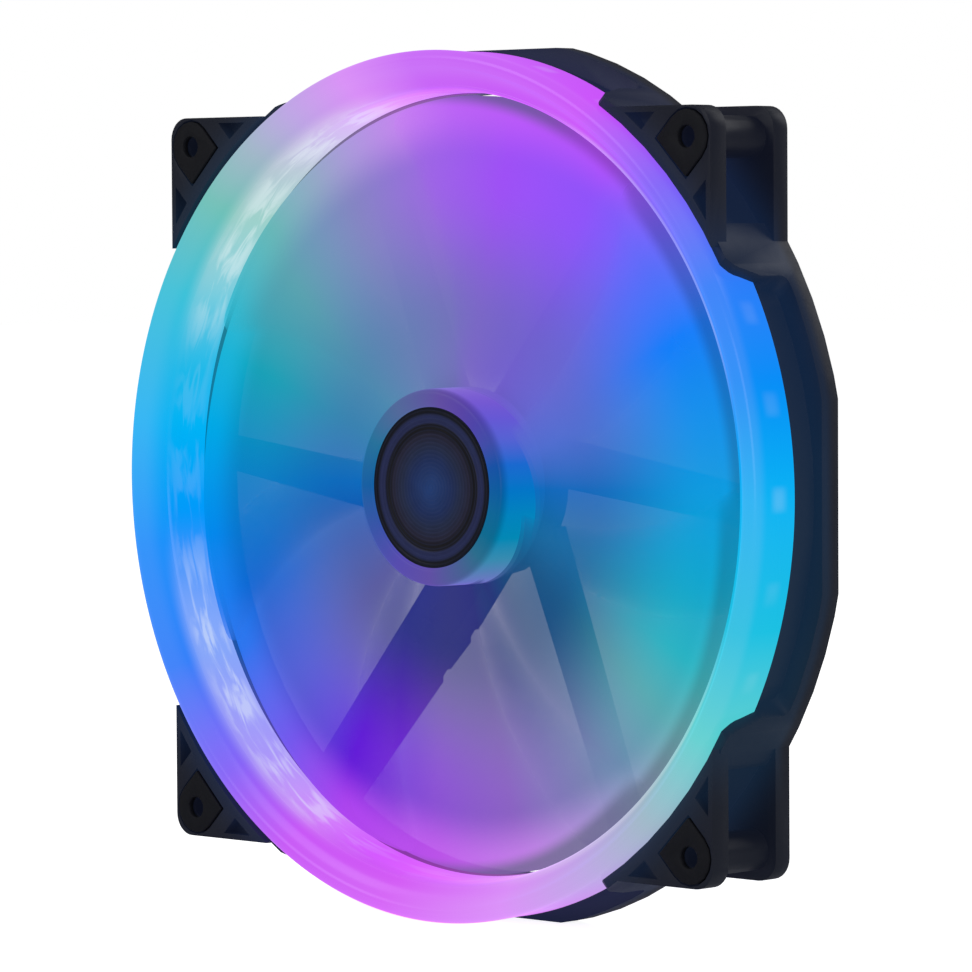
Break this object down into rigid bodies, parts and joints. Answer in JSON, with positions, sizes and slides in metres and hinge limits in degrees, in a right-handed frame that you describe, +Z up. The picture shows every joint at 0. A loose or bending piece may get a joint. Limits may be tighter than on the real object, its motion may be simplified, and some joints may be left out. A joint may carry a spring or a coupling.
{
  "type": "case fan",
  "caption": "Large square-lugged computer case fan with a rounded light-diffuser ring, frosted impeller and pinwheel struts, standing upright.",
  "frame": {"origin": "middle of the base: bottom centre of the whole fan's box, standing upright on the housing's lower flat", "axes": "+Z up, -Y out of the lit intake face, +Y along the shaft towards the struts and the exhaust side, +X to the right as seen from the intake side"},
  "size_m": [0.1954, 0.0274, 0.1954],
  "materials": {
    "black_plastic": "finely textured moulding, satin",
    "pad_rubber": "matte",
    "diffuser_plastic": "milky, lit from inside",
    "frosted_plastic": "frosted, translucent",
    "badge_film": "fine spun rings",
    "white_board": "white solder mask",
    "lead_insulation": "ribbed flat lead",
    "yoke_steel": "drawn steel",
    "shaft_steel": "ground",
    "core_steel": "stacked laminations",
    "magnet": "bonded ferrite, matte",
    "bearing_brass": "sintered",
    "white_plastic": "matte",
    "copper_winding": "enamelled wire",
    "green_board": "solder mask",
    "chip_plastic": "moulded package"
  },
  "bodies": {
    "housing": {"frame": "black_plastic", "front_pad_top_right": "pad_rubber", "front_pad_top_left": "pad_rubber", "front_pad_bottom_left": "pad_rubber", "front_pad_bottom_right": "pad_rubber", "rear_pad_top_right": "pad_rubber", "rear_pad_top_left": "pad_rubber", "rear_pad_bottom_left": "pad_rubber", "rear_pad_bottom_right": "pad_rubber", "diffuser_ring": "diffuser_plastic", "light_board": "white_board", "lamp_lead": "lead_insulation", "bearing_sleeve": "bearing_brass", "oil_seal": "white_plastic", "thrust_pad": "white_plastic", "stator_core": "core_steel", "front_insulator": "white_plastic", "rear_insulator": "white_plastic", "coil_1": "copper_winding", "coil_2": "copper_winding", "coil_3": "copper_winding", "coil_4": "copper_winding", "motor_board": "green_board", "hall_sensor": "chip_plastic", "driver_chip": "chip_plastic", "rear_label": "badge_film"},
    "rotor": {"impeller": "frosted_plastic", "hub_badge": "badge_film", "rotor_yoke": "yoke_steel", "ring_magnet": "magnet", "shaft_bush": "bearing_brass", "shaft": "shaft_steel", "shaft_clip": "shaft_steel"}
  },
  "joints": [
    {"name": "rotor_spin", "type": "hinge", "parent": "housing", "child": "rotor", "pos_m": [0, 0, 0.0977], "axis": [0, 1, 0], "continuous": true}
  ]
}
